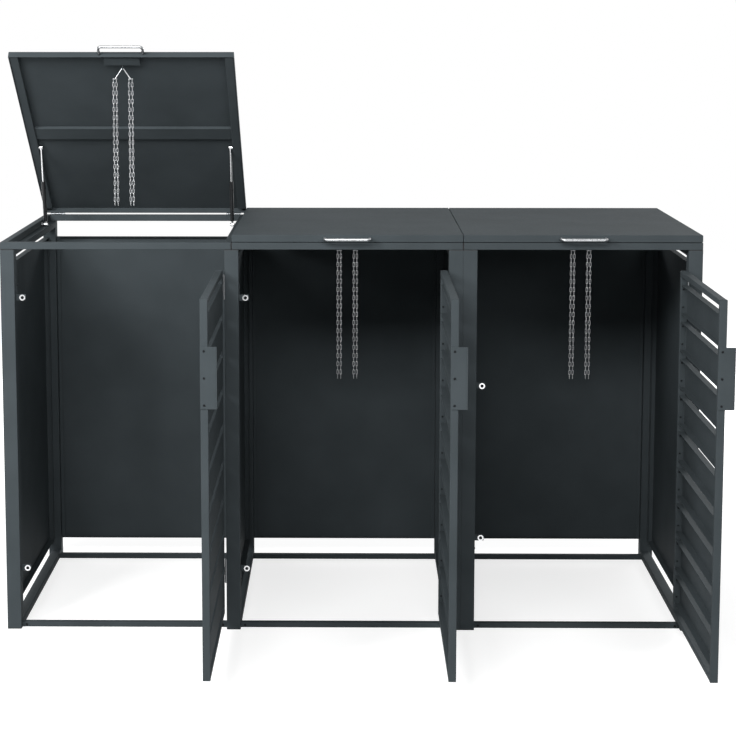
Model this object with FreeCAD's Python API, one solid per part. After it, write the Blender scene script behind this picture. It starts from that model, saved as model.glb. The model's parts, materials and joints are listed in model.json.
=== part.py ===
"""Wheelie bin store for three bins: steel frame, three lids, three louvred doors.

Millimetres, +Z up. The front of the store faces -Y.
X = 0 is the middle of the store, Y = 0 is the middle of the front floor rail,
Z = 0 is the ground.
The shapes are drawn in measuring coordinates, X from the left end and Y from the
front face, and moved to the part's own origin when they are saved.
"""
import FreeCAD
import Part
import math
import os

V = FreeCAD.Vector
os.makedirs("parts", exist_ok=True)

# Overall sizes
WIDTH = 1990.0
DEPTH = 800.0
HEIGHT = 1152.0

# Tubes and sheet
POST = 40.0
RAIL = 20.0
SIDE_RAIL_WIDE = 30.0
SIDE_RAIL_HIGH = 20.0
FLOOR_RAIL_WIDE = 20.0
FLOOR_RAIL_HIGH = 15.0
WALL = 1.5
SHEET = 1.2
TUBE_ROUND = 1.6

# Heights, worked down from the top of the lids
LID_DEEP = 20.0
LID_REST_GAP = 2.0
CAP = 2.0
LID_TOP = HEIGHT
LID_BOTTOM = LID_TOP - LID_DEEP
RAIL_TOP = LID_BOTTOM - LID_REST_GAP
RAIL_BOTTOM = RAIL_TOP - RAIL
POST_TOP = RAIL_BOTTOM - CAP

# Origin of the part
FRONT_RAIL_IN = 20.0
X_SHIFT = -WIDTH / 2.0
Y_SHIFT = -(FRONT_RAIL_IN + FLOOR_RAIL_WIDE / 2.0)

# Five posts, three bays: outer left, outer right, clear left, clear right.
# The third and fourth posts touch, where the two-bay unit meets the one-bay unit.
BAY_CLEAR = (WIDTH - 5.0 * POST) / 3.0
B_LEFT = POST + BAY_CLEAR
C_LEFT = B_LEFT + POST + BAY_CLEAR
C_MID = C_LEFT + POST
D_LEFT = WIDTH - POST
B_MID = B_LEFT + POST / 2.0
POST_LEFTS = [0.0, B_LEFT, C_LEFT, C_MID, D_LEFT]
BAYS = [
    (0.0, B_MID, POST, B_LEFT),
    (B_MID, C_MID, B_LEFT + POST, C_LEFT),
    (C_MID, WIDTH, C_MID + POST, D_LEFT),
]

# Plugs and caps
PLUG_GAP = 0.15
CAP_PLUG_DEEP = 12.0
CAP_HOLLOW_IN = 5.0
RAIL_PLUG_PLATE = 1.5
RAIL_PLUG_DEEP = 8.5
UNIT_GAP = 0.6
REAR_CROSS_BACK = 53.0

# Panels
PANEL_LOW = 55.0
PANEL_HIGH = RAIL_BOTTOM - 52.0
PANEL_DEEP = 18.0
PANEL_LIP = 10.0
PANEL_GAP = 0.5

# Lid hinge axis and opening
HINGE_BEHIND = 4.0
HINGE_Y = DEPTH + HINGE_BEHIND
HINGE_Z = RAIL_TOP + LID_REST_GAP / 2.0
OPEN_ANGLE = 40.0
LID_SIDE_GAP = 1.0
LID_ROUND = 1.8
SHEET_UNDER = LID_TOP - LID_ROUND
HALF_LID_DEEP = LID_DEEP / 2.0

# Lid stiffeners
BRACE_WIDE = 25.0
BRACE_GAP = 0.3
BRACE_BACK = 20.0
BRACE_LIFT = 3.0
CROSS_FROM_HINGE = 448.0
CROSS_WIDE = 55.0
CROSS_DEEP = 10.0

# Handle, its plate and the eye for the chains
HANDLE_HALF = 64.0
HANDLE_OUT = 38.0
HANDLE_R = 4.0
HANDLE_BEND = 9.0
HANDLE_Z = LID_BOTTOM + HALF_LID_DEEP
PLATE_HALF = 52.0
PLATE_FRONT = 14.0
PLATE_BACK = 46.0
PLATE_DEEP = 12.0
PLATE_WALL = 1.5
EYE_Y = 54.0
EYE_Z = HINGE_Z
EYE_R = 5.0
EYE_HOLE = 1.8
EYE_THICK = 2.0

# Struts: pivots on the frame and on the lid, measured from the lid hinge
STRUT_LOW = (HINGE_Y - 200.0, HINGE_Z - 13.5)
STRUT_HIGH = (HINGE_Y - 350.0, HINGE_Z + 11.0)
STRUT_IN = 34.5
STUD_R = 3.0
STUD_BASE_R = 6.0
STUD_BASE = 3.0
STUD_HEAD_R = 4.5
STUD_HEAD = 1.6
STUD_FIT = 0.06
STRUT_EYE_R = 6.0
STRUT_EYE_HALF = 4.0
STRUT_BODY_R = 6.0
STRUT_NECK_R = 3.5
STRUT_NOSE = 12.0
STRUT_END_WALL = 3.0
STRUT_HEADROOM = 9.5
ROD_R = 3.0
ROD_FIT = 0.08
ROD_SOCKET_R = 4.2
ROD_SOCKET_FROM = 8.5
ROD_SOCKET_TO = 3.0
ROD_END_GAP = 1.0
ROD_SHORT = 8.0

# Hinges
PIN_R = 1.5
PIN_FIT = 0.05
PIN_PROUD = 1.2
BORE_R = PIN_R + PIN_FIT
KNUCKLE_GAP = 0.3
DOOR_KNUCKLE_R = 3.0
DOOR_KNUCKLE_HALF = 11.9
DOOR_LEAF_FIXED = 25.4
DOOR_LEAF_MOVING = 17.4
DOOR_LEAF_IN = 0.6
LEAF_HIGH = 70.0
LID_KNUCKLE_R = 3.2
LID_KNUCKLE_HALF = 9.9
LID_HINGE_WIDE = 46.0
LID_HINGE_IN = 42.0
LID_BRIDGE = 2.2

# Doors
DOOR_LOW = 52.0
DOOR_HIGH = RAIL_BOTTOM - 58.0
DOOR_THICK = 20.0
DOOR_BAR = 15.0
DOOR_GAP = 3.0
LATCH_GAP = 19.7
DOOR_WIDE = BAY_CLEAR - DOOR_GAP - LATCH_GAP
DOOR_AXIS_Y = -3.2
UPPER_HINGE_DOWN = 49.0
LOWER_HINGE_UP = 124.0
HINGE_CENTRES = (DOOR_HIGH - UPPER_HINGE_DOWN, DOOR_LOW + LOWER_HINGE_UP)

# Louvre slats
SLATS = 9
SLAT_HIGH = 82.5
SLAT_SHEET = 1.0
SLAT_FRONT = 1.0
SLAT_BACK = 18.5
SLAT_CORNER = (11.0, 12.0)
SLAT_GAP = (DOOR_HIGH - DOOR_LOW - 2 * DOOR_BAR - SLATS * SLAT_HIGH) / (SLATS + 1)
SLAT_SCREW_Y = 12.5
SLAT_SCREW_DOWNS = (13.0, 64.0)

# Pull plate on the door's free edge
PULL_LOW = DOOR_HIGH - 282.0
PULL_HIGH = 161.0
PULL_OUT = 23.0
PULL_THICK = 2.0
PULL_LIP = 5.0
PULL_LIP_THICK = 1.5
PULL_SCREW_UPS = (10.0, 80.0, 150.0)
PULL_SCREW_Y = 10.0

# Magnet catches: how far below the door's top or above its bottom, bay by bay
UPPER_CATCH_DOWN = (83.0, 83.0, 337.0)
LOWER_CATCH_UP = (124.0, 124.0, 217.0)
CATCH_SCREW_OFF = 34.0
CATCH_SCREW_Y = 33.0
MAGNET_IN = 18.0
MAGNET_Y = DOOR_THICK + 0.6
MAGNET_THICK = 4.5
MAGNET_R = 8.5
MAGNET_CONE = (4.7, 2.6, 2.6)
BRACKET_SHEET = 1.5
BRACKET_REACH = 27.0
BRACKET_HALF = 9.0
BRACKET_FOOT = 8.0
BRACKET_HOLE = 2.6

# Screws: radius and height of the heads
FLOOR_SCREW = (3.4, 1.6)
CATCH_SCREW = (3.0, 1.8)
SLAT_SCREW = (2.6, 1.4)
PULL_SCREW = (3.0, 1.4)
FLOOR_SCREW_IN = 12.5
MAGNET_SCREW_SINK = 0.3
MAGNET_SCREW = (3.8, 1.6, 2.2)
MAGNET_SCREW_LONG = 7.7

# Chains
WIRE = 0.8
LINK_R = 2.2
LINK_SLACK = 0.3
LINK_PITCH = 12.0
LINK_INNER = LINK_PITCH + LINK_SLACK
LINKS = 31
STRAND_OFF = 4.5
HOOK_R = 1.6
HOOK_DROP = 29.0
HOOK_SPREAD = 23.0
HOOK_TOP = 3.0
HOOK_TAIL = 2.5
HOOK_TAIL_R = 1.1


def box(x0, x1, y0, y1, z0, z1):
    return Part.makeBox(x1 - x0, y1 - y0, z1 - z0, V(x0, y0, z0))


def rod(start, end, radius):
    a = V(*start)
    b = V(*end)
    return Part.makeCylinder(radius, a.distanceToPoint(b), a, b.sub(a))


def rod_x(x0, x1, y, z, radius):
    return rod((x0, y, z), (x1, y, z), radius)


def rod_z(x, y, z0, z1, radius):
    return rod((x, y, z0), (x, y, z1), radius)


def soften(shape, axis, radius):
    """Round the long edges of a straight bar."""
    edges = []
    for edge in shape.Edges:
        way = edge.Vertexes[-1].Point.sub(edge.Vertexes[0].Point)
        if abs(getattr(way, axis)) > 0.999 * way.Length:
            edges.append(edge)
    return shape.makeFillet(radius, edges)


def tube(x0, x1, y0, y1, z0, z1, axis, wall=WALL):
    """Square or flat steel tube, open at both ends."""
    outer = soften(box(x0, x1, y0, y1, z0, z1), axis, TUBE_ROUND)
    grow = {"x": (1, -wall, -wall), "y": (-wall, 1, -wall), "z": (-wall, -wall, 1)}[axis]
    inner = box(x0 - grow[0], x1 + grow[0], y0 - grow[1], y1 + grow[1], z0 - grow[2], z1 + grow[2])
    return outer.cut(inner)


def fuse(shapes):
    if len(shapes) == 1:
        return shapes[0]
    joined = shapes[0].multiFuse(shapes[1:])
    return joined.removeSplitter()


def place(shape):
    """Move from measuring position to the part's own origin."""
    moved = shape.copy()
    moved.translate(V(X_SHIFT, Y_SHIFT, 0))
    return moved


def save(name, shapes):
    solids = []
    for shape in shapes:
        for solid in place(shape).Solids:
            solids.append(solid)
    whole = solids[0] if len(solids) == 1 else Part.makeCompound(solids)
    whole.exportStep("parts/" + name + ".step")
    print(name, len(solids), "solids", round(whole.Volume / 1000.0, 1), "cm3")


def mirror_x(shape, middle):
    return shape.mirror(V(middle, 0, 0), V(1, 0, 0))


def turn(shape, centre, axis, degrees):
    turned = shape.copy()
    turned.rotate(V(*centre), V(*axis), degrees)
    return turned


def open_lid(shape):
    """Lift something that belongs to lid 1 into its open position."""
    return turn(shape, (0, HINGE_Y, HINGE_Z), (1, 0, 0), -OPEN_ANGLE)


def lid_point(point, degrees):
    """Where a point of a lid, given as (y, z), goes when the lid opens."""
    angle = math.radians(degrees)
    dy = point[0] - HINGE_Y
    dz = point[1] - HINGE_Z
    y = HINGE_Y + dy * math.cos(angle) + dz * math.sin(angle)
    z = HINGE_Z - dy * math.sin(angle) + dz * math.cos(angle)
    return (y, z)


# Posts and the plastic caps in their ends

def make_posts():
    front = []
    rear = []
    for left in POST_LEFTS:
        front.append(tube(left, left + POST, 0, POST, CAP, POST_TOP, "z"))
        rear.append(tube(left, left + POST, DEPTH - POST, DEPTH, CAP, POST_TOP, "z"))
    save("front_posts", front)
    save("rear_posts", rear)


def post_cap(left, near, upper):
    """Flat cap with a hollow plug that fits inside the tube."""
    inset = WALL + PLUG_GAP
    hollow_in = CAP_HOLLOW_IN
    z0 = POST_TOP if upper else 0.0
    plate = soften(box(left, left + POST, near, near + POST, z0, z0 + CAP), "z", TUBE_ROUND)
    p0 = POST_TOP - CAP_PLUG_DEEP if upper else CAP
    p1 = p0 + CAP_PLUG_DEEP
    plug = box(left + inset, left + POST - inset, near + inset, near + POST - inset, p0, p1)
    h0, h1 = (p0 - 1, p1) if upper else (p0, p1 + 1)
    hollow = box(left + hollow_in, left + POST - hollow_in, near + hollow_in, near + POST - hollow_in, h0, h1)
    return fuse([plate, plug.cut(hollow)])


def rail_plug(face, way, y0, z0):
    """Plug in the end of a top rail. way = +1 when the rail is to the right."""
    inset = WALL + PLUG_GAP
    neck = face + way * RAIL_PLUG_PLATE
    tip = neck + way * RAIL_PLUG_DEEP
    plate = box(min(face, neck), max(face, neck), y0, y0 + RAIL, z0, z0 + RAIL)
    plug = box(min(neck, tip), max(neck, tip), y0 + inset, y0 + RAIL - inset, z0 + inset, z0 + RAIL - inset)
    return fuse([soften(plate, "x", TUBE_ROUND), plug])


def make_caps():
    caps = []
    for left in POST_LEFTS:
        for near in (0, DEPTH - POST):
            caps.append(post_cap(left, near, True))
            caps.append(post_cap(left, near, False))
    for outer_left, outer_right, _, _ in BAYS:
        for near in (0, DEPTH - RAIL):
            caps.append(rail_plug(outer_left + UNIT_GAP, 1, near, RAIL_BOTTOM))
            caps.append(rail_plug(outer_right - UNIT_GAP, -1, near, RAIL_BOTTOM))
    save("tube_end_caps", caps)


# Rails

def make_top_rails():
    front = []
    rear = []
    side = []
    for outer_left, outer_right, _, _ in BAYS:
        x0 = outer_left + UNIT_GAP + RAIL_PLUG_PLATE
        x1 = outer_right - UNIT_GAP - RAIL_PLUG_PLATE
        front.append(tube(x0, x1, 0, RAIL, RAIL_BOTTOM, RAIL_TOP, "x"))
        rear.append(tube(x0, x1, DEPTH - RAIL, DEPTH, RAIL_BOTTOM, RAIL_TOP, "x"))
        for left in (outer_left + UNIT_GAP, outer_right - UNIT_GAP - RAIL):
            side.append(tube(left, left + RAIL, RAIL, DEPTH - RAIL, RAIL_BOTTOM, RAIL_TOP, "y"))
    save("front_top_rails", front)
    save("rear_top_rails", rear)
    save("side_top_rails", side)


def make_lower_rails():
    spans = [
        (POST - SIDE_RAIL_WIDE, POST),
        (B_LEFT, B_LEFT + POST),
        (C_LEFT, C_LEFT + SIDE_RAIL_WIDE),
        (C_MID + POST - SIDE_RAIL_WIDE, C_MID + POST),
        (D_LEFT, D_LEFT + SIDE_RAIL_WIDE),
    ]
    head = []
    foot = []
    for x0, x1 in spans:
        head.append(tube(x0, x1, POST, DEPTH - POST, RAIL_BOTTOM - SIDE_RAIL_HIGH, RAIL_BOTTOM, "y"))
        foot.append(tube(x0, x1, POST, DEPTH - POST, 0, SIDE_RAIL_HIGH, "y"))
    save("side_head_rails", head)
    save("side_floor_rails", foot)

    cross = []
    rear_start = DEPTH - REAR_CROSS_BACK - FLOOR_RAIL_WIDE
    for _, _, left, right in BAYS:
        for start in (FRONT_RAIL_IN, rear_start):
            cross.append(tube(left, right, start, start + FLOOR_RAIL_WIDE, 0, FLOOR_RAIL_HIGH, "x"))
    save("cross_floor_rails", cross)


# Sheet panels, each folded like a shallow tray

def tray(x0, x1, y0, y1, z0, z1, open_side):
    """Folded sheet tray with a lip along two sides. open_side is +x, -x or -y."""
    outer = box(x0, x1, y0, y1, z0, z1)
    t = SHEET
    lip = PANEL_LIP
    if open_side == "+x":
        inner = box(x0 + t, x1 + 1, y0 + t, y1 - t, z0 + t, z1 - t)
        lips = [box(x1 - t, x1, y0, y0 + lip, z0, z1), box(x1 - t, x1, y1 - lip, y1, z0, z1)]
    elif open_side == "-x":
        inner = box(x0 - 1, x1 - t, y0 + t, y1 - t, z0 + t, z1 - t)
        lips = [box(x0, x0 + t, y0, y0 + lip, z0, z1), box(x0, x0 + t, y1 - lip, y1, z0, z1)]
    else:
        inner = box(x0 + t, x1 - t, y0 - 1, y1 - t, z0 + t, z1 - t)
        lips = [box(x0, x0 + lip, y0, y0 + t, z0, z1), box(x1 - lip, x1, y0, y0 + t, z0, z1)]
    return fuse([outer.cut(inner)] + lips)


def side_tray(x0, open_side):
    near = POST + PANEL_GAP
    far = DEPTH - POST - PANEL_GAP
    return tray(x0, x0 + PANEL_DEEP, near, far, PANEL_LOW, PANEL_HIGH, open_side)


def make_panels():
    left = side_tray(PANEL_GAP, "+x")
    right = mirror_x(left, WIDTH / 2.0)
    save("outer_side_panels", [left, right])

    walls = [
        side_tray(B_MID - PANEL_DEEP / 2.0, "+x"),
        side_tray(C_MID - PANEL_GAP - PANEL_DEEP, "-x"),
        side_tray(C_MID + PANEL_GAP, "+x"),
    ]
    save("partition_panels", walls)

    backs = []
    for _, _, x0, x1 in BAYS:
        backs.append(tray(x0 + PANEL_GAP, x1 - PANEL_GAP, DEPTH - PANEL_DEEP, DEPTH, PANEL_LOW, PANEL_HIGH, "-y"))
    save("back_panels", backs)


# Magnet catches: a bracket on the post with a ring magnet on its arm

def catches(bay_index):
    """Height of each magnet, and which way along Z its bracket's screw lies."""
    upper = DOOR_HIGH - UPPER_CATCH_DOWN[bay_index]
    lower = DOOR_LOW + LOWER_CATCH_UP[bay_index]
    return [(upper, 1), (lower, -1)]


def make_catches():
    brackets = []
    magnets = []
    arm_y = MAGNET_Y + MAGNET_THICK
    for index, bay in enumerate(BAYS):
        post_face = bay[2]
        x = post_face + MAGNET_IN
        for height, way in catches(index):
            screw = height + way * CATCH_SCREW_OFF
            z0 = min(height - BRACKET_HALF, screw - BRACKET_FOOT)
            z1 = max(height + BRACKET_HALF, screw + BRACKET_FOOT)
            foot = box(post_face, post_face + BRACKET_SHEET, arm_y, POST, z0, z1)
            arm = box(post_face, post_face + BRACKET_REACH, arm_y, arm_y + BRACKET_SHEET,
                      height - BRACKET_HALF, height + BRACKET_HALF)
            hole = rod((x, arm_y - 1, height), (x, arm_y + BRACKET_SHEET + 1, height), BRACKET_HOLE)
            brackets.append(fuse([foot, arm]).cut(hole))
            centre = (x, MAGNET_Y, height)
            back = (x, arm_y, height)
            wide, narrow, deep = MAGNET_CONE
            cone = Part.makeCone(wide, narrow, deep, V(*centre), V(0, 1, 0))
            bore = rod(centre, back, narrow)
            magnets.append(rod(centre, back, MAGNET_R).cut(fuse([cone, bore])))
    save("magnet_brackets", brackets)
    save("magnets", magnets)


def pan_screw(head, inward, size):
    """Screw head on a face. head is the centre on the face, inward points into it."""
    radius, high = size
    away = V(-inward[0], -inward[1], -inward[2])
    dome = Part.makeCylinder(radius, high, V(*head), away)
    ring = [e for e in dome.Edges if len(e.Vertexes) == 1 and e.CenterOfMass.distanceToPoint(V(*head)) > 0.5 * high]
    dome = dome.makeFillet(0.45 * high, ring)
    top = V(*head).add(V(away.x * high, away.y * high, away.z * high))
    socket = Part.makeCylinder(0.4 * radius, 0.6 * high, top, V(*inward))
    return dome.cut(socket)


def magnet_screw(x, height):
    """Countersunk screw through a ring magnet."""
    head_r, shank_r, head_deep = MAGNET_SCREW
    front = MAGNET_Y + MAGNET_SCREW_SINK
    head = Part.makeCone(head_r, shank_r, head_deep, V(x, front, height), V(0, 1, 0))
    shank = rod((x, front, height), (x, front + MAGNET_SCREW_LONG, height), shank_r)
    socket = rod((x, front, height), (x, front + 0.5 * head_deep, height), 0.4 * head_r)
    return fuse([head, shank]).cut(socket)


def make_frame_screws():
    screws = []
    rail_face = FRONT_RAIL_IN
    for index, bay in enumerate(BAYS):
        left, right = bay[2], bay[3]
        for x in (left + FLOOR_SCREW_IN, right - FLOOR_SCREW_IN):
            screws.append(pan_screw((x, rail_face, FLOOR_RAIL_HIGH / 2.0), (0, 1, 0), FLOOR_SCREW))
        for height, way in catches(index):
            spot = (left + BRACKET_SHEET, CATCH_SCREW_Y, height + way * CATCH_SCREW_OFF)
            screws.append(pan_screw(spot, (-1, 0, 0), CATCH_SCREW))
            screws.append(magnet_screw(left + MAGNET_IN, height))
    save("frame_screws", screws)


# Door hinges: two to a door, each with a middle knuckle on the door

def door_axis(bay):
    return (bay[3] - DOOR_GAP / 2.0, DOOR_AXIS_Y)


def make_door_hinges():
    fixed = []
    pins = []
    split = DOOR_KNUCKLE_HALF + KNUCKLE_GAP
    for bay in BAYS:
        ax, ay = door_axis(bay)
        face = bay[3]
        for centre in HINGE_CENTRES:
            z0 = centre - LEAF_HIGH / 2.0
            z1 = centre + LEAF_HIGH / 2.0
            bore = rod_z(ax, ay, z0 - 1, z1 + 1, BORE_R)
            pieces = [box(face - SHEET, face, DOOR_LEAF_IN, DOOR_LEAF_IN + DOOR_LEAF_FIXED, z0, z1)]
            for a, b in ((z0, centre - split), (centre + split, z1)):
                pieces.append(rod_z(ax, ay, a, b, DOOR_KNUCKLE_R))
                pieces.append(box(face - SHEET, face, ay + SHEET, DOOR_LEAF_IN + SHEET, a, b))
            fixed.append(fuse(pieces).cut(bore))
            pins.append(rod_z(ax, ay, z0 - PIN_PROUD, z1 + PIN_PROUD, PIN_R))
    save("door_hinge_leaves_fixed", fixed)
    return pins


# Lid hinges: two to a lid along the rear

def lid_hinge_middles(bay):
    return (bay[0] + LID_HINGE_IN, bay[1] - LID_HINGE_IN)


def make_lid_hinges():
    fixed = []
    pins = []
    split = LID_KNUCKLE_HALF + KNUCKLE_GAP
    bridge_low = HINGE_Z - 2.0
    bridge_top = HINGE_Z - 0.4
    for bay in BAYS:
        for middle in lid_hinge_middles(bay):
            x0 = middle - LID_HINGE_WIDE / 2.0
            x1 = middle + LID_HINGE_WIDE / 2.0
            bore = rod_x(x0 - 1, x1 + 1, HINGE_Y, HINGE_Z, BORE_R)
            pieces = [box(x0, x1, DEPTH, DEPTH + SHEET, RAIL_BOTTOM + 2, HINGE_Z - 4)]
            for a, b in ((x0, middle - split), (middle + split, x1)):
                pieces.append(rod_x(a, b, HINGE_Y, HINGE_Z, LID_KNUCKLE_R))
                pieces.append(box(a, b, DEPTH, DEPTH + SHEET, HINGE_Z - 5, bridge_top))
                pieces.append(box(a, b, DEPTH, DEPTH + LID_BRIDGE, bridge_low, bridge_top))
            fixed.append(fuse(pieces).cut(bore))
            pins.append(rod_x(x0 - PIN_PROUD, x1 + PIN_PROUD, HINGE_Y, HINGE_Z, PIN_R))
    save("lid_hinge_leaves_fixed", fixed)
    return pins


# Strut studs on the frame

def make_frame_studs():
    studs = []
    y, z = STRUT_LOW
    rail_in = UNIT_GAP + RAIL
    tip_in = STRUT_IN + STRUT_EYE_HALF + STUD_HEAD + 0.4
    for bay in BAYS:
        for edge, way in ((bay[0], 1), (bay[1], -1)):
            face = edge + way * rail_in
            tip = edge + way * tip_in
            pin = rod_x(face, tip, y, z, STUD_R)
            base = rod_x(face, face + way * STUD_BASE, y, z, STUD_BASE_R)
            head = rod_x(tip - way * STUD_HEAD, tip, y, z, STUD_HEAD_R)
            studs.append(fuse([pin, base, head]))
    save("strut_studs", studs)


# Lids

def lid_panel(bay):
    """Sheet folded down on all four sides, with rounded top edges."""
    x0, x1 = bay[0] + LID_SIDE_GAP, bay[1] - LID_SIDE_GAP
    outer = box(x0, x1, 0, DEPTH, LID_BOTTOM, LID_TOP)
    top_edges = [e for e in outer.Edges if e.CenterOfMass.z > LID_TOP - 0.1]
    inner = box(x0 + SHEET, x1 - SHEET, SHEET, DEPTH - SHEET, LID_BOTTOM - 1, SHEET_UNDER)
    return outer.makeFillet(LID_ROUND, top_edges).cut(inner)


def brace_start(edge, way):
    """Outer side of a lid's side channel."""
    return edge + way * (LID_SIDE_GAP + SHEET + BRACE_GAP)


def lid_braces(bay):
    """Two side channels and one cross channel under the sheet."""
    left = brace_start(bay[0], 1)
    right = brace_start(bay[1], -1)
    low = LID_BOTTOM + BRACE_LIFT
    front = SHEET + BRACE_GAP
    channel = tube(left, left + BRACE_WIDE, front, DEPTH - BRACE_BACK, low, SHEET_UNDER, "y", SHEET)
    other = mirror_x(channel, (bay[0] + bay[1]) / 2.0)
    start = HINGE_Y - CROSS_FROM_HINGE
    cross = tube(left + BRACE_WIDE, right - BRACE_WIDE, start, start + CROSS_WIDE,
                 SHEET_UNDER - CROSS_DEEP, SHEET_UNDER, "x", SHEET)
    return [channel, other, cross]


def handle(bay):
    """Round bar bent to a U, with its legs on the lid's front face."""
    middle = (bay[0] + bay[1]) / 2.0
    bar_y = HANDLE_R - HANDLE_OUT
    bend_y = bar_y + HANDLE_BEND
    straight = HANDLE_HALF - HANDLE_BEND
    pieces = [rod_x(middle - straight, middle + straight, bar_y, HANDLE_Z, HANDLE_R)]
    for way in (-1, 1):
        leg_x = middle + way * HANDLE_HALF
        pieces.append(rod((leg_x, 0, HANDLE_Z), (leg_x, bend_y, HANDLE_Z), HANDLE_R))
        centre = V(middle + way * straight, bend_y, HANDLE_Z)
        ring = Part.makeTorus(HANDLE_BEND, HANDLE_R, centre, V(0, 0, 1))
        span = 2.0 * (HANDLE_BEND + HANDLE_R)
        quarter = box(min(centre.x, centre.x + way * span), max(centre.x, centre.x + way * span),
                      bend_y - span, bend_y, HANDLE_Z - span, HANDLE_Z + span)
        pieces.append(ring.common(quarter))
    return fuse(pieces)


def handle_plate(bay):
    """Stiffening pan under the sheet behind the handle, with the eye for the chains."""
    middle = (bay[0] + bay[1]) / 2.0
    x0, x1 = middle - PLATE_HALF, middle + PLATE_HALF
    low = SHEET_UNDER - PLATE_DEEP
    wall = PLATE_WALL
    pan = box(x0, x1, PLATE_FRONT, PLATE_BACK, low, SHEET_UNDER)
    hollow = box(x0 + wall, x1 - wall, PLATE_FRONT + wall, PLATE_BACK - wall, low + wall, SHEET_UNDER + 1)
    flange = box(x0, x1, PLATE_BACK - wall, EYE_Y + EYE_R, SHEET_UNDER - wall, SHEET_UNDER)
    e0, e1 = middle - EYE_THICK / 2.0, middle + EYE_THICK / 2.0
    tab = box(e0, e1, PLATE_BACK - wall, EYE_Y + EYE_R, EYE_Z, SHEET_UNDER)
    under = box(e0, e1, EYE_Y - EYE_R, EYE_Y + EYE_R, EYE_Z, SHEET_UNDER)
    round_end = rod_x(e0, e1, EYE_Y, EYE_Z, EYE_R)
    hole = rod_x(e0 - 1, e1 + 1, EYE_Y, EYE_Z, EYE_HOLE)
    tab = tab.common(box(e0, e1, PLATE_BACK - wall, EYE_Y + EYE_R, low, SHEET_UNDER))
    return fuse([pan.cut(hollow), flange, tab, under, round_end]).cut(hole)


def lid_hinge_leaves(bay):
    leaves = []
    half = LID_KNUCKLE_HALF
    neck_low = HINGE_Z + 1.2
    for middle in lid_hinge_middles(bay):
        x0 = middle - LID_HINGE_WIDE / 2.0
        x1 = middle + LID_HINGE_WIDE / 2.0
        leaf = box(x0, x1, DEPTH, DEPTH + SHEET, HINGE_Z + 4, LID_TOP - 3)
        neck = box(middle - half, middle + half, DEPTH, DEPTH + SHEET, neck_low, HINGE_Z + 5)
        bridge = box(middle - half, middle + half, DEPTH, DEPTH + LID_BRIDGE, neck_low, neck_low + SHEET)
        barrel = rod_x(middle - half, middle + half, HINGE_Y, HINGE_Z, LID_KNUCKLE_R)
        bore = rod_x(middle - half - 1, middle + half + 1, HINGE_Y, HINGE_Z, BORE_R)
        leaves.append(fuse([leaf, neck, bridge, barrel]).cut(bore))
    return leaves


# Gas struts, drawn along +Y from the frame stud and then turned into place

def strut_state(is_open):
    """Distance between a strut's pivots, and its slope."""
    high = lid_point(STRUT_HIGH, OPEN_ANGLE if is_open else 0.0)
    dy = high[0] - STRUT_LOW[0]
    dz = high[1] - STRUT_LOW[1]
    return (math.hypot(dy, dz), math.degrees(math.atan2(dz, dy)))


SHUT_LENGTH = strut_state(False)[0]
TUBE_END = SHUT_LENGTH - STRUT_HEADROOM
ROD_LONG = SHUT_LENGTH - ROD_SHORT - STRUT_NOSE - STRUT_END_WALL - ROD_END_GAP


def aim(shape, degrees):
    moved = shape.copy()
    moved.translate(V(0, STRUT_LOW[0], STRUT_LOW[1]))
    return turn(moved, (0, STRUT_LOW[0], STRUT_LOW[1]), (1, 0, 0), degrees)


def strut_cylinders(bay, is_open):
    _, angle = strut_state(is_open)
    made = []
    for edge, way in ((bay[0], 1), (bay[1], -1)):
        x = edge + way * STRUT_IN
        eye = rod_x(x - STRUT_EYE_HALF, x + STRUT_EYE_HALF, 0, 0, STRUT_EYE_R)
        neck = rod((x, STRUT_EYE_HALF, 0), (x, STRUT_NOSE + 1, 0), STRUT_NECK_R)
        body = rod((x, STRUT_NOSE, 0), (x, TUBE_END, 0), STRUT_BODY_R)
        bore = rod((x, STRUT_NOSE + STRUT_END_WALL, 0), (x, TUBE_END + 1, 0), ROD_R + ROD_FIT)
        hole = rod_x(x - STRUT_EYE_R, x + STRUT_EYE_R, 0, 0, STUD_R + STUD_FIT)
        made.append(aim(fuse([eye, neck, body]).cut(hole).cut(bore), angle))
    return made


def strut_rods(bay, is_open):
    length, angle = strut_state(is_open)
    made = []
    for edge, way in ((bay[0], 1), (bay[1], -1)):
        x = edge + way * STRUT_IN
        bar = rod((x, length - ROD_SHORT - ROD_LONG, 0), (x, length - STRUT_EYE_HALF, 0), ROD_R)
        socket = rod((x, length - ROD_SOCKET_FROM, 0), (x, length - ROD_SOCKET_TO, 0), ROD_SOCKET_R)
        head = rod_x(x - STRUT_EYE_HALF, x + STRUT_EYE_HALF, length, 0, STRUT_EYE_R)
        face = brace_start(edge, way) + way * (BRACE_WIDE + BRACE_GAP)
        stud = rod_x(face, x, length, 0, STUD_R)
        base = rod_x(face, face + way * 0.8, length, 0, STRUT_EYE_R - 0.5)
        made.append(aim(fuse([bar, socket, head, stud, base]), angle))
    return made


# Chains: a bent wire hook and four strands of links, all hanging straight down

def one_link():
    """Link in the YZ plane with its middle at the origin."""
    half = LINK_INNER / 2.0 + WIRE - LINK_R
    span = LINK_INNER
    pieces = []
    for side in (-1, 1):
        pieces.append(rod_z(0, side * LINK_R, -half, half, WIRE))
        ring = Part.makeTorus(LINK_R, WIRE, V(0, 0, side * half), V(1, 0, 0))
        keep = box(-span, span, -span, span, min(side * half, side * span), max(side * half, side * span))
        pieces.append(ring.common(keep))
    return fuse(pieces)


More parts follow.
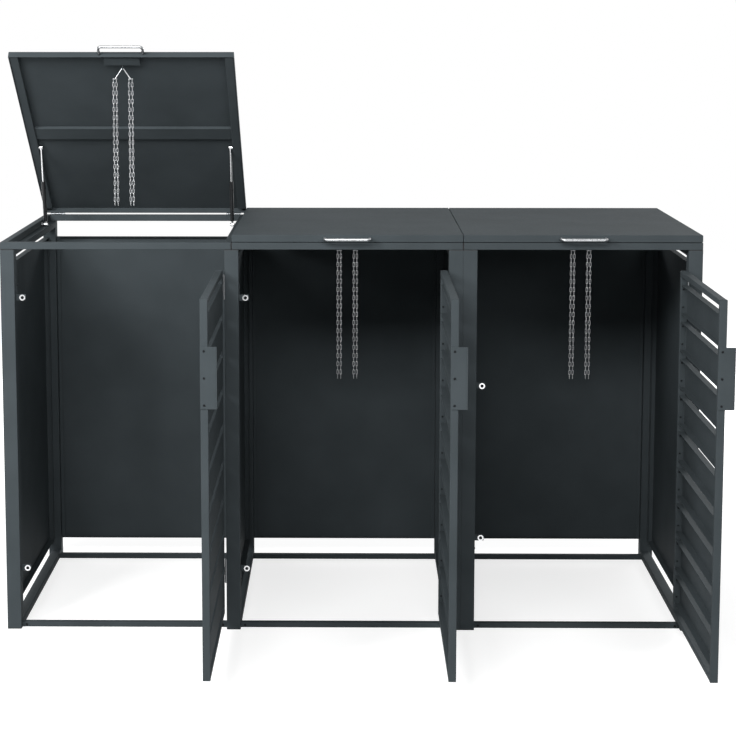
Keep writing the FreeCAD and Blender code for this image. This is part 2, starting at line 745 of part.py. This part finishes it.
def chain_set(bay, is_open):
    middle = (bay[0] + bay[1]) / 2.0
    y, z = lid_point((EYE_Y, EYE_Z), OPEN_ANGLE if is_open else 0.0)
    foot = z - HOOK_DROP
    tail = STRAND_OFF + HOOK_TAIL
    hook = [rod_x(middle - HOOK_TOP, middle + HOOK_TOP, y, z, HOOK_R)]
    for side in (-1, 1):
        top = (middle + side * HOOK_TOP, y, z)
        low = (middle + side * HOOK_SPREAD, y, foot)
        hook.append(rod(top, low, HOOK_R))
        hook.append(Part.makeSphere(HOOK_R, V(*top)))
        hook.append(Part.makeSphere(HOOK_R, V(*low)))
        hook.append(rod_x(low[0] - tail, low[0] + tail, y, foot, HOOK_TAIL_R))
    made = [fuse(hook)]
    flat = one_link()
    crossed = turn(flat, (0, 0, 0), (0, 0, 1), 90)
    first = foot + HOOK_TAIL_R + LINK_SLACK - LINK_INNER / 2.0
    for side in (-1, 1):
        for offset in (-STRAND_OFF, STRAND_OFF):
            x = middle + side * HOOK_SPREAD + offset
            for index in range(LINKS):
                link = (flat if index % 2 == 0 else crossed).copy()
                link.translate(V(x, y, first - index * LINK_PITCH))
                made.append(link)
    return made


def make_lids():
    for number, bay in enumerate(BAYS, 1):
        is_open = number == 1
        put = open_lid if is_open else (lambda shape: shape)
        name = "lid_%d_" % number
        save(name + "panel", [put(lid_panel(bay))])
        save(name + "braces", [put(s) for s in lid_braces(bay)])
        save(name + "handle", [put(handle(bay))])
        save(name + "handle_plate", [put(handle_plate(bay))])
        save(name + "hinge_leaves", [put(s) for s in lid_hinge_leaves(bay)])
        save(name + "strut_cylinders", strut_cylinders(bay, is_open))
        save(name + "strut_rods", strut_rods(bay, is_open))
        save(name + "chains", chain_set(bay, is_open))


# Doors, drawn closed and then opened by a quarter turn

def door_span(bay):
    """Left and right side of the closed door."""
    right = bay[3] - DOOR_GAP
    return (right - DOOR_WIDE, right)


def door_frame(bay):
    x0, x1 = door_span(bay)
    stiles = [tube(x0, x0 + DOOR_BAR, 0, DOOR_THICK, DOOR_LOW, DOOR_HIGH, "z", SHEET),
              tube(x1 - DOOR_BAR, x1, 0, DOOR_THICK, DOOR_LOW, DOOR_HIGH, "z", SHEET)]
    rails = [tube(x0 + DOOR_BAR, x1 - DOOR_BAR, 0, DOOR_THICK, low, low + DOOR_BAR, "x", SHEET)
             for low in (DOOR_LOW, DOOR_HIGH - DOOR_BAR)]
    return stiles + rails


def slat_top(index):
    return DOOR_HIGH - DOOR_BAR - SLAT_GAP - index * (SLAT_HIGH + SLAT_GAP)


def slat(bay, index):
    """Folded channel, flat face outside, with a tab with a cut corner at each end."""
    edge0, edge1 = door_span(bay)
    x0, x1 = edge0 + DOOR_BAR, edge1 - DOOR_BAR
    top = slat_top(index)
    low = top - SLAT_HIGH
    t = SLAT_SHEET
    back = SLAT_BACK
    shell = box(x0, x1, SLAT_FRONT, back, low, top)
    inner = box(x0 + t, x1 - t, SLAT_FRONT + t, back + 1, low + t, top - t)
    deep, high = SLAT_CORNER
    corner = [V(0, back + 1, low + t), V(0, back + 1, low + high), V(0, back - deep, low + t), V(0, back + 1, low + t)]
    wedge = Part.Face(Part.makePolygon(corner)).extrude(V(t + 0.001, 0, 0))
    first = wedge.copy()
    first.translate(V(x0 - 0.001, 0, 0))
    second = wedge.copy()
    second.translate(V(x1 - t, 0, 0))
    return shell.cut(inner).cut(fuse([first, second]))


def pull_plate(bay):
    """Flat plate on the door's free edge that stands out in front as a pull."""
    edge = door_span(bay)[0]
    z0 = PULL_LOW
    z1 = PULL_LOW + PULL_HIGH
    flat = box(edge - PULL_THICK, edge, -PULL_OUT, DOOR_THICK, z0, z1)
    lip = box(edge - PULL_LIP, edge, -PULL_OUT, PULL_LIP_THICK - PULL_OUT, z0, z1)
    return fuse([flat, lip])


def door_screws(bay):
    screws = []
    edge0, edge1 = door_span(bay)
    left_tab = edge0 + DOOR_BAR + SLAT_SHEET
    right_tab = edge1 - DOOR_BAR - SLAT_SHEET
    for index in range(SLATS):
        for down in SLAT_SCREW_DOWNS:
            z = slat_top(index) - down
            screws.append(pan_screw((left_tab, SLAT_SCREW_Y, z), (-1, 0, 0), SLAT_SCREW))
            screws.append(pan_screw((right_tab, SLAT_SCREW_Y, z), (1, 0, 0), SLAT_SCREW))
    for up in PULL_SCREW_UPS:
        screws.append(pan_screw((edge0 - PULL_THICK, PULL_SCREW_Y, PULL_LOW + up), (1, 0, 0), PULL_SCREW))
    return screws


def door_hinge_leaves(bay):
    ax, ay = door_axis(bay)
    edge = door_span(bay)[1]
    half = DOOR_KNUCKLE_HALF
    leaves = []
    for centre in HINGE_CENTRES:
        z0 = centre - LEAF_HIGH / 2.0
        z1 = centre + LEAF_HIGH / 2.0
        leaf = box(edge, edge + SHEET, DOOR_LEAF_IN, DOOR_LEAF_IN + DOOR_LEAF_MOVING, z0, z1)
        neck = box(edge, edge + SHEET, ay + SHEET, DOOR_LEAF_IN + SHEET, centre - half, centre + half)
        barrel = rod_z(ax, ay, centre - half, centre + half, DOOR_KNUCKLE_R)
        bore = rod_z(ax, ay, centre - half - 1, centre + half + 1, BORE_R)
        leaves.append(fuse([leaf, neck, barrel]).cut(bore))
    return leaves


def make_doors():
    for number, bay in enumerate(BAYS, 1):
        ax, ay = door_axis(bay)

        def put(shape):
            return turn(shape, (ax, ay, 0), (0, 0, 1), 90)

        name = "door_%d_" % number
        save(name + "frame", [put(s) for s in door_frame(bay)])
        save(name + "louvres", [put(slat(bay, i)) for i in range(SLATS)])
        save(name + "pull_plate", [put(pull_plate(bay))])
        save(name + "screws", [put(s) for s in door_screws(bay)])
        save(name + "hinge_leaves", [put(s) for s in door_hinge_leaves(bay)])


make_posts()
make_caps()
make_top_rails()
make_lower_rails()
make_panels()
make_catches()
make_frame_screws()
save("hinge_pins", make_door_hinges() + make_lid_hinges())
make_frame_studs()
make_lids()
make_doors()
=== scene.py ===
"""Look of the wheelie bin store: materials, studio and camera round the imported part."""
import json
import math

import bpy
from mathutils import Euler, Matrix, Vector

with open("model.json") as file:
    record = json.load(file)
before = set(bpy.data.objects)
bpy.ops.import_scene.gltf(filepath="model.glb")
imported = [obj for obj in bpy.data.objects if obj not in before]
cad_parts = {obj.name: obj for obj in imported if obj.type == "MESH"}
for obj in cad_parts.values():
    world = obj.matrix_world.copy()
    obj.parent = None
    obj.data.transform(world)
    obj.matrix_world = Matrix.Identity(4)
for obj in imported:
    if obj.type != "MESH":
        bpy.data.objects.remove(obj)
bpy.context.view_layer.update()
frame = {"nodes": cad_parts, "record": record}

NODES = frame["nodes"]
SLOT_OF = {part["node"]: part["material_slot"] for part in frame["record"]["subparts"]}

# Colours, linear
ANTHRACITE = (0.037, 0.045, 0.049)
ANTHRACITE_PALE = (0.045, 0.054, 0.059)
# Paler grey that the coat's edges are mixed towards: a painted highlight
EDGE_HIGHLIGHT_GREY = (0.085, 0.098, 0.104)
PLASTIC_BLACK = (0.014, 0.015, 0.016)
PLASTIC_GREY = (0.024, 0.025, 0.026)
STEEL = (0.30, 0.31, 0.32)
STEEL_DULL = (0.17, 0.18, 0.19)
CHAIN_BRIGHT = (0.52, 0.53, 0.54)
CHAIN_DULL = (0.24, 0.25, 0.26)
SATIN = (0.42, 0.43, 0.44)
SATIN_DULL = (0.30, 0.31, 0.32)
CHROME = (0.80, 0.81, 0.82)
CHROME_DULL = (0.62, 0.63, 0.64)
STRUT_BLACK = (0.010, 0.011, 0.012)
# Lighter colour at the edges of the strut's black cylinder
STRUT_EDGE_PALE = (0.024, 0.026, 0.028)
SCREW_BLACK = (0.004, 0.005, 0.006)
# Lighter colour at the edges of the dark screws
SCREW_EDGE_PALE = (0.022, 0.024, 0.026)

# Lower pivot of the struts on the frame, Y and Z in metres, and how far its bright eye reaches
STRUT_PIVOT = (0.574, 1.1175)
STRUT_EYE = 0.0105
STRUT_EYE_BLUR = 0.0003

# Noise scales, per metre
CLOUD_SCALE = 7.0
SHEEN_SCALE = 160.0
PEEL_SCALE = 900.0

# Depths of the finish, in metres
PEEL_DEPTH = 0.00012
PLASTIC_DEPTH = 0.0001
FINE_DEPTH = 0.00005

# Roughness from and to, and how much a flat view reflects
COAT_ROUGH = (0.66, 0.74)
COAT_SHINE = 0.05
PLASTIC_ROUGH = (0.5, 0.7)
PLASTIC_SHINE = 0.2

# How far round an edge the lighter edge colour and the rounded normal reach, in metres; on the powder
# coat that lighter edge is a painted highlight
COAT_EDGE = 0.0012
PAINT_EDGE = 0.0005


class Finish:
    """A Principled material with noise in metres of the part's own frame."""

    def __init__(self, name):
        self.material = bpy.data.materials.new(name)
        self.material.use_nodes = True
        self.tree = self.material.node_tree
        self.shader = self.tree.nodes["Principled BSDF"]
        self.place = self.tree.nodes.new("ShaderNodeTexCoord").outputs["Object"]

    def node(self, kind, **settings):
        made = self.tree.nodes.new(kind)
        for key, value in settings.items():
            setattr(made, key, value)
        return made

    def join(self, source, target):
        self.tree.links.new(source, target)

    def set(self, socket, value):
        self.shader.inputs[socket].default_value = value

    def noise(self, scale, detail=3.0, stretch=(1.0, 1.0, 1.0)):
        mapping = self.node("ShaderNodeMapping")
        mapping.inputs["Scale"].default_value = stretch
        self.join(self.place, mapping.inputs["Vector"])
        texture = self.node("ShaderNodeTexNoise")
        texture.inputs["Scale"].default_value = scale
        texture.inputs["Detail"].default_value = detail
        self.join(mapping.outputs["Vector"], texture.inputs["Vector"])
        return texture.outputs["Fac"]

    def spread(self, value, low, high, low_in=0.3, high_in=0.7):
        """Map a noise value to a range."""
        made = self.node("ShaderNodeMapRange")
        made.inputs["From Min"].default_value = low_in
        made.inputs["From Max"].default_value = high_in
        made.inputs["To Min"].default_value = low
        made.inputs["To Max"].default_value = high
        self.join(value, made.inputs["Value"])
        return made.outputs["Result"]

    def mix(self, amount, first, second):
        made = self.node("ShaderNodeMix", data_type="RGBA")
        self.join(amount, made.inputs[0])
        for socket, colour in ((made.inputs[6], first), (made.inputs[7], second)):
            if isinstance(colour, tuple):
                socket.default_value = (*colour, 1.0)
            else:
                self.join(colour, socket)
        return made.outputs[2]

    def edges(self, radius):
        """Near 1 along an edge of the piece, 0 on its flats; and the rounded normal."""
        bevel = self.node("ShaderNodeBevel", samples=6)
        bevel.inputs["Radius"].default_value = radius
        flat = self.node("ShaderNodeNewGeometry")
        dot = self.node("ShaderNodeVectorMath", operation="DOT_PRODUCT")
        self.join(bevel.outputs["Normal"], dot.inputs[0])
        self.join(flat.outputs["Normal"], dot.inputs[1])
        edge_mask = self.spread(dot.outputs["Value"], 1.0, 0.0, 0.80, 0.99)
        return edge_mask, bevel.outputs["Normal"]

    def bump(self, height, depth, strength, normal=None):
        made = self.node("ShaderNodeBump")
        made.inputs["Strength"].default_value = strength
        made.inputs["Distance"].default_value = depth
        self.join(height, made.inputs["Height"])
        if normal is not None:
            self.join(normal, made.inputs["Normal"])
        self.join(made.outputs["Normal"], self.shader.inputs["Normal"])


def powder_coat():
    """Satin powder coat: cloudy grey, fine orange peel, and edges made paler by a painted highlight.
    """
    coat = Finish("powder_coat_look")
    clouds = coat.spread(coat.noise(CLOUD_SCALE, 4.0), 0.0, 1.0)
    grey = coat.mix(clouds, ANTHRACITE, ANTHRACITE_PALE)
    edge_mask, rounded = coat.edges(COAT_EDGE)
    # Painted highlight: the coat's edges are mixed part way towards a paler grey
    painted_edge_highlight = coat.spread(edge_mask, 0.0, 0.45, 0.0, 1.0)
    coat.join(coat.mix(painted_edge_highlight, grey, EDGE_HIGHLIGHT_GREY), coat.shader.inputs["Base Color"])
    sheen = coat.spread(coat.noise(SHEEN_SCALE, 2.0), *COAT_ROUGH)
    coat.join(sheen, coat.shader.inputs["Roughness"])
    coat.set("Specular IOR Level", COAT_SHINE)
    coat.bump(coat.noise(PEEL_SCALE, 2.0), PEEL_DEPTH, 0.35, rounded)
    return coat.material


def black_plastic():
    plastic = Finish("black_plastic_look")
    clouds = plastic.spread(plastic.noise(60.0), 0.0, 1.0)
    plastic.join(plastic.mix(clouds, PLASTIC_BLACK, PLASTIC_GREY), plastic.shader.inputs["Base Color"])
    sheen = plastic.spread(plastic.noise(400.0), *PLASTIC_ROUGH)
    plastic.join(sheen, plastic.shader.inputs["Roughness"])
    plastic.set("Specular IOR Level", PLASTIC_SHINE)
    plastic.bump(plastic.noise(1500.0), PLASTIC_DEPTH, 0.4)
    return plastic.material


def metal(name, dark, bright, rough, fine, stretch=(1.0, 1.0, 1.0)):
    """Bare or plated metal with fine marks along one way."""
    made = Finish(name)
    marks = made.noise(fine, 3.0, stretch)
    made.join(made.mix(made.spread(marks, 0.0, 1.0), dark, bright), made.shader.inputs["Base Color"])
    made.set("Metallic", 1.0)
    made.join(made.spread(marks, rough[0], rough[1]), made.shader.inputs["Roughness"])
    made.bump(marks, FINE_DEPTH, 0.2)
    return made.material


def painted(name, dark, edge_colour, rough, shine):
    """Smooth dark paint or blacking, a little lighter at the edges."""
    made = Finish(name)
    made.set("Specular IOR Level", shine)
    edge_mask, rounded = made.edges(PAINT_EDGE)
    # The edges are mixed part way towards a lighter colour
    pale_edge = made.spread(edge_mask, 0.0, 0.7, 0.0, 1.0)
    made.join(made.mix(pale_edge, dark, edge_colour), made.shader.inputs["Base Color"])
    made.join(made.spread(made.noise(120.0), rough[0], rough[1]), made.shader.inputs["Roughness"])
    made.bump(made.noise(700.0), FINE_DEPTH, 0.2, rounded)
    return made


def strut_cylinder():
    """Black cylinder whose lower eye, round the pivot on the frame, is bright plated steel."""
    made = painted("strut_black_look", STRUT_BLACK, STRUT_EDGE_PALE, (0.25, 0.35), 0.25)
    from_pivot = made.node("ShaderNodeVectorMath", operation="SUBTRACT")
    made.join(made.place, from_pivot.inputs[0])
    from_pivot.inputs[1].default_value = (0.0, *STRUT_PIVOT)
    across = made.node("ShaderNodeVectorMath", operation="MULTIPLY")
    made.join(from_pivot.outputs["Vector"], across.inputs[0])
    across.inputs[1].default_value = (0.0, 1.0, 1.0)
    distance = made.node("ShaderNodeVectorMath", operation="LENGTH")
    made.join(across.outputs["Vector"], distance.inputs[0])
    inside = STRUT_EYE - STRUT_EYE_BLUR
    outside = STRUT_EYE + STRUT_EYE_BLUR
    plated = made.spread(distance.outputs["Value"], 1.0, 0.0, inside, outside)
    paint = made.shader.inputs["Base Color"].links[0].from_socket
    made.join(made.mix(plated, paint, CHROME), made.shader.inputs["Base Color"])
    made.join(plated, made.shader.inputs["Metallic"])
    return made


LOOKS = {
    "powder_coat": powder_coat(),
    "black_plastic": black_plastic(),
    "steel": metal("steel_look", STEEL_DULL, STEEL, (0.28, 0.42), 500.0, (1.0, 1.0, 0.1)),
    "chrome": metal("chrome_look", CHROME_DULL, CHROME, (0.10, 0.2), 300.0),
    "satin": metal("satin_look", SATIN_DULL, SATIN, (0.22, 0.34), 300.0),
    "strut_black": strut_cylinder().material,
    "chain": metal("chain_look", CHAIN_DULL, CHAIN_BRIGHT, (0.25, 0.4), 250.0),
    "magnet": metal("magnet_look", CHROME_DULL, CHROME, (0.12, 0.25), 400.0),
    "dark_screw": painted("dark_screw_look", SCREW_BLACK, SCREW_EDGE_PALE, (0.4, 0.55), 0.12).material,
}
LOOK_BY_ENDING = {"_chains": "chain", "_handle": "satin"}

for name, node in NODES.items():
    look = SLOT_OF[name]
    for ending, other in LOOK_BY_ENDING.items():
        if name.endswith(ending):
            look = other
    for slot in node.material_slots:
        slot.material = LOOKS[look]

# Camera: place in metres, turned down and to the left by a few degrees
CAMERA_PLACE = (-0.0046, -5.2995, 1.7405)
CAMERA_DOWN = 7.062
CAMERA_LEFT = 0.553
CAMERA_LENS = 91.8
CAMERA_SHIFT = (0.05, -0.15)

camera_data = bpy.data.cameras.new("camera")
camera_data.lens = CAMERA_LENS
camera_data.sensor_width = 36.0
camera_data.shift_x, camera_data.shift_y = CAMERA_SHIFT
camera = bpy.data.objects.new("camera", camera_data)
camera.location = CAMERA_PLACE
camera.rotation_euler = Euler((math.radians(90.0 - CAMERA_DOWN), 0.0, math.radians(CAMERA_LEFT)))
bpy.context.scene.collection.objects.link(camera)
bpy.context.scene.camera = camera
bpy.context.scene.view_settings.view_transform = "Standard"


# Lamps: name, place, what they look at, size in metres, watts
LAMPS = [
    ("key_light", (-0.7, -4.3, 3.5), (-0.2, 0.0, 0.6), (2.4, 1.2), 210.0),
    ("fill_light", (2.4, -4.4, 2.6), (0.3, 0.0, 0.6), (1.2, 1.8), 75.0),
    ("left_light", (-2.2, -2.2, 2.5), (-0.9, 0.0, 0.6), (0.8, 1.4), 110.0),
    ("right_back_light", (3.4, 3.8, 1.6), (0.3, 0.4, 0.6), (1.6, 1.6), 170.0),
    ("left_back_light", (-3.4, 3.8, 1.6), (-0.3, 0.4, 0.6), (1.6, 1.6), 120.0),
]


def soft_box(name, place, aim, size, power):
    """A large soft lamp that looks at a point."""
    lamp = bpy.data.lights.new(name, "AREA")
    lamp.shape = "RECTANGLE"
    lamp.size, lamp.size_y = size
    lamp.energy = power
    made = bpy.data.objects.new(name, lamp)
    made.location = place
    made.rotation_euler = (Vector(aim) - Vector(place)).to_track_quat("-Z", "Y").to_euler()
    bpy.context.scene.collection.objects.link(made)


for lamp in LAMPS:
    soft_box(*lamp)


def background_for(tree):
    """1 for rays that see the background itself, so that it shows as white."""
    ray = tree.nodes.new("ShaderNodeLightPath")
    seen = ray.outputs["Is Camera Ray"]
    for other in ("Is Glossy Ray", "Is Transmission Ray"):
        both = tree.nodes.new("ShaderNodeMath")
        both.operation = "MAXIMUM"
        tree.links.new(seen, both.inputs[0])
        tree.links.new(ray.outputs[other], both.inputs[1])
        seen = both.outputs[0]
    return seen


# World: white where it is seen, soft grey light elsewhere
WORLD_LIGHT = 0.15
world = bpy.data.worlds.new("studio")
bpy.context.scene.world = world
world.use_nodes = True
sky = world.node_tree
seen = background_for(sky)
strength = sky.nodes.new("ShaderNodeMapRange")
strength.inputs["To Min"].default_value = WORLD_LIGHT
strength.inputs["To Max"].default_value = 1.0
sky.links.new(seen, strength.inputs["Value"])
sky.nodes["Background"].inputs["Color"].default_value = (1.0, 1.0, 1.0, 1.0)
sky.links.new(strength.outputs["Result"], sky.nodes["Background"].inputs["Strength"])

# Floor: pale, lifted to white for the camera, keeps a soft shadow
FLOOR_HALF = 9.0
FLOOR_GREY = (0.5, 0.5, 0.5, 1.0)
FLOOR_LIFT = 0.7
FLOOR_FADE = (1.2, 3.6)
corners = [(-FLOOR_HALF, -FLOOR_HALF, 0), (FLOOR_HALF, -FLOOR_HALF, 0)]
corners += [(FLOOR_HALF, FLOOR_HALF, 0), (-FLOOR_HALF, FLOOR_HALF, 0)]
floor_mesh = bpy.data.meshes.new("floor")
floor_mesh.from_pydata(corners, [], [(0, 1, 2, 3)])
floor = bpy.data.objects.new("floor", floor_mesh)
bpy.context.scene.collection.objects.link(floor)
floor_look = bpy.data.materials.new("floor_look")
floor_look.use_nodes = True
floor_tree = floor_look.node_tree
floor_shader = floor_tree.nodes["Principled BSDF"]
floor_shader.inputs["Base Color"].default_value = FLOOR_GREY
floor_shader.inputs["Roughness"].default_value = 0.9
floor_shader.inputs["Specular IOR Level"].default_value = 0.0
floor_shader.inputs["Emission Color"].default_value = (1.0, 1.0, 1.0, 1.0)
place = floor_tree.nodes.new("ShaderNodeTexCoord")
away = floor_tree.nodes.new("ShaderNodeVectorMath")
away.operation = "LENGTH"
floor_tree.links.new(place.outputs["Object"], away.inputs[0])
whiter = floor_tree.nodes.new("ShaderNodeMapRange")
whiter.inputs["From Min"].default_value, whiter.inputs["From Max"].default_value = FLOOR_FADE
whiter.inputs["To Min"].default_value = FLOOR_LIFT
whiter.inputs["To Max"].default_value = 1.0
floor_tree.links.new(away.outputs["Value"], whiter.inputs["Value"])
lift = floor_tree.nodes.new("ShaderNodeMath")
lift.operation = "MULTIPLY"
floor_tree.links.new(background_for(floor_tree), lift.inputs[0])
floor_tree.links.new(whiter.outputs["Result"], lift.inputs[1])
floor_tree.links.new(lift.outputs["Value"], floor_shader.inputs["Emission Strength"])
floor_mesh.materials.append(floor_look)
